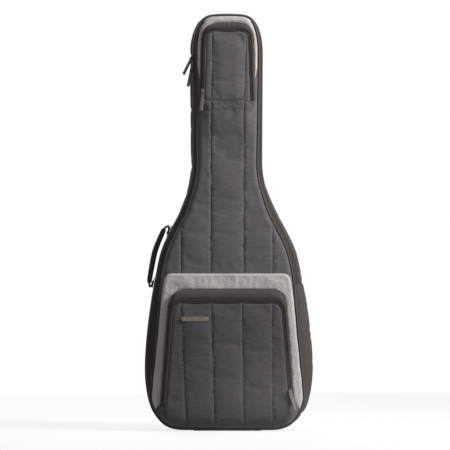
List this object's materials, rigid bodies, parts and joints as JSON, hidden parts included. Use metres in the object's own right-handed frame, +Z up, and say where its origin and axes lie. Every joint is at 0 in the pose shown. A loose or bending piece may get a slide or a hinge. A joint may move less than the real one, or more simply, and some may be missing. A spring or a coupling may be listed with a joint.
{
  "type": "padded gig bag",
  "caption": "Padded guitar-shaped soft case with a side-opening lid, a large front pocket, a small head pocket, a side handle and back straps.",
  "frame": {"origin": "middle of the base guard, on the surface that the bag stands on", "axes": "+Z up towards the head, -Y out of the lid and its pockets, +X towards the lid hinge"},
  "size_m": [0.432, 0.1715, 1.0806],
  "materials": {
    "melange": "woven melange cloth",
    "side_cloth": "plain woven cloth",
    "pale_felt": "felt, light grey melange",
    "trim": "woven trim",
    "lining": "brushed plush lining over foam",
    "rubber": "moulded, matte",
    "nylon": "moulded nylon",
    "gunmetal": "dark nickel plate",
    "satin": "satin plate"
  },
  "bodies": {
    "shell": {"back_panel": "melange", "back_lining_pad": "lining", "back_piping": "trim", "base_guard": "rubber", "gusset_base": "side_cloth", "gusset_right_lower": "side_cloth", "gusset_right_upper": "side_cloth", "gusset_head": "side_cloth", "gusset_left_upper": "side_cloth", "gusset_left_lower": "side_cloth", "main_zip_tape_shell": "trim", "main_zip_teeth_shell": "nylon", "hinge_strip_shell": "side_cloth", "neck_cradle": "lining", "neck_strap": "trim", "handle_grip": "rubber", "handle_loop_upper": "trim", "handle_loop_lower": "trim", "handle_patch_upper": "trim", "handle_patch_lower": "trim", "grab_patch": "trim", "strap_yoke": "trim", "strap_left_tab": "trim", "strap_right_tab": "trim"},
    "lid": {"lid_panel": "melange", "lid_lining_pad": "lining", "lid_piping": "trim", "main_zip_tape_lid": "trim", "main_zip_teeth_lid": "nylon", "hinge_strip_lid": "side_cloth", "pocket_wall": "side_cloth", "pocket_zip_teeth": "nylon", "pocket_skirt": "melange", "head_pocket_wall": "side_cloth", "head_pocket_zip_teeth": "nylon", "head_pocket_hem": "melange", "body_felt_band": "pale_felt", "head_felt_band": "pale_felt"},
    "pocket_flap": {"pocket_flap": "melange", "blank_badge": "satin"},
    "head_pocket_flap": {"head_pocket_flap": "melange"},
    "grab_loop": {"grab_loop": "trim"},
    "main_zip_upper_slider": {"main_zip_upper_slider": "gunmetal"},
    "main_zip_upper_pull": {"main_zip_upper_pull": "gunmetal"},
    "main_zip_lower_slider": {"main_zip_lower_slider": "gunmetal"},
    "main_zip_lower_pull": {"main_zip_lower_pull": "gunmetal"},
    "pocket_zip_slider": {"pocket_zip_slider": "gunmetal"},
    "pocket_zip_pull": {"pocket_zip_pull": "gunmetal"},
    "head_pocket_zip_slider": {"head_pocket_zip_slider": "gunmetal"},
    "head_pocket_zip_pull": {"head_pocket_zip_pull": "gunmetal"},
    "strap_left": {"strap_left_pad": "melange", "strap_left_buckle": "nylon", "strap_left_webbing": "trim", "strap_left_hook": "gunmetal"},
    "strap_left_ring": {"strap_left_ring": "gunmetal"},
    "strap_right": {"strap_right_pad": "melange", "strap_right_buckle": "nylon", "strap_right_webbing": "trim", "strap_right_hook": "gunmetal"},
    "strap_right_ring": {"strap_right_ring": "gunmetal"}
  },
  "joints": [
    {"name": "lid_hinge", "type": "hinge", "parent": "shell", "child": "lid", "pos_m": [0.209, -0.06, 0], "axis": [0, 0, 1], "range_deg": [0, 170]},
    {"name": "pocket_flap_hinge", "type": "hinge", "parent": "lid", "child": "pocket_flap", "pos_m": [0, -0.087, 0.0704], "axis": [1, 0, 0], "range_deg": [0, 80]},
    {"name": "head_pocket_flap_hinge", "type": "hinge", "parent": "lid", "child": "head_pocket_flap", "pos_m": [0, -0.074, 0.8565], "axis": [1, 0, 0], "range_deg": [0, 80]},
    {"name": "main_zip_upper_slide", "type": "slide", "parent": "lid", "child": "main_zip_upper_slider", "axis": [-0.0038, 0.0048, 1], "range_m": [0, 0.015]},
    {"name": "main_zip_upper_pull_hinge", "type": "hinge", "parent": "main_zip_upper_slider", "child": "main_zip_upper_pull", "pos_m": [-0.09348, -0.04848, 0.96603], "axis": [-0.4837, 0.767, 0.4216], "range_deg": [0, 120]},
    {"name": "main_zip_lower_slide", "type": "slide", "parent": "lid", "child": "main_zip_lower_slider", "axis": [0.0038, -0.0048, -1], "range_m": [0, 0.2]},
    {"name": "main_zip_lower_pull_hinge", "type": "hinge", "parent": "main_zip_lower_slider", "child": "main_zip_lower_pull", "pos_m": [-0.09321, -0.04848, 0.93903], "axis": [-0.6064, 0.7892, 0.0971], "range_deg": [-9, 110]},
    {"name": "pocket_zip_slide", "type": "slide", "parent": "lid", "child": "pocket_zip_slider", "axis": [-0.0786, 0, 0.9969], "range_m": [0, 0.19]},
    {"name": "pocket_zip_pull_hinge", "type": "hinge", "parent": "pocket_zip_slider", "child": "pocket_zip_pull", "pos_m": [0.16301, -0.0926, 0.1], "axis": [-0.9588, 0, -0.2842], "range_deg": [0, 120]},
    {"name": "head_pocket_zip_slide", "type": "slide", "parent": "lid", "child": "head_pocket_zip_slider", "axis": [0.0274, 0, 0.9996], "range_m": [0, 0.12]},
    {"name": "head_pocket_zip_pull_hinge", "type": "hinge", "parent": "head_pocket_zip_slider", "child": "head_pocket_zip_pull", "pos_m": [-0.06378, -0.0796, 0.876], "axis": [-0.9953, 0, 0.0971], "range_deg": [0, 120]},
    {"name": "grab_loop_hinge", "type": "hinge", "parent": "shell", "child": "grab_loop", "pos_m": [0, 0.07, 1.03], "axis": [1, 0, 0], "range_deg": [0, 170]},
    {"name": "strap_left_hinge", "type": "hinge", "parent": "shell", "child": "strap_left", "pos_m": [-0.044, 0.0668, 0.584], "axis": [1, 0, 0], "range_deg": [0, 120]},
    {"name": "strap_left_ring_hinge", "type": "hinge", "parent": "shell", "child": "strap_left_ring", "pos_m": [-0.146, 0.0644, 0.13], "axis": [1, 0, 0], "range_deg": [0, 150]},
    {"name": "strap_right_hinge", "type": "hinge", "parent": "shell", "child": "strap_right", "pos_m": [0.044, 0.0668, 0.584], "axis": [1, 0, 0], "range_deg": [0, 120]},
    {"name": "strap_right_ring_hinge", "type": "hinge", "parent": "shell", "child": "strap_right_ring", "pos_m": [0.146, 0.0644, 0.13], "axis": [1, 0, 0], "range_deg": [0, 150]}
  ]
}
